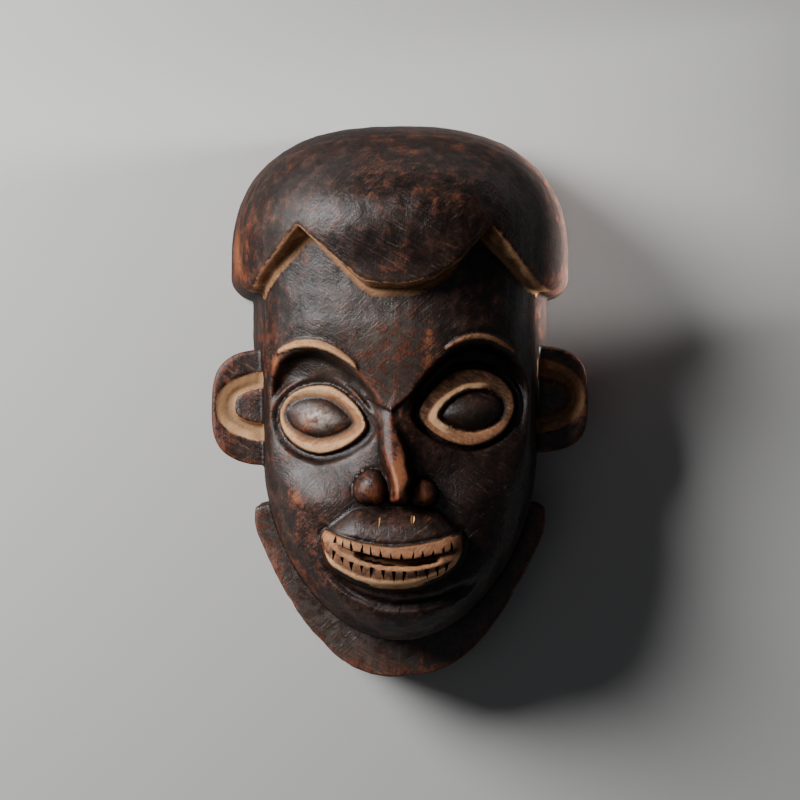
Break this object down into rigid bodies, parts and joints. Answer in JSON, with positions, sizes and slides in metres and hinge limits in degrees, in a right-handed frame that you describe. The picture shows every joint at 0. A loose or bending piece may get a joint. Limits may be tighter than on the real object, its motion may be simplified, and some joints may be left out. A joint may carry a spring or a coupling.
{
  "type": "carved wooden face mask",
  "caption": "Carved wooden face mask, hollow at the back, with a domed hair cap cut in zigzag, almond eyes, a toothed crescent mouth, side ears and a collar board",
  "frame": {"origin": "middle of the bounding box in X and Y, on the plane of the rear rim that the mask lies on", "axes": "+Z out of the face, +Y towards the crown of the hair cap, +X to the viewer's right when the face is looked at"},
  "size_m": [0.286, 0.424, 0.1954],
  "materials": {
    "carved_wood": "dark rubbed patina over carved hardwood, worn reddish edges, kaolin in the cuts"
  },
  "bodies": {
    "root": {"mask": "carved_wood"}
  },
  "joints": []
}
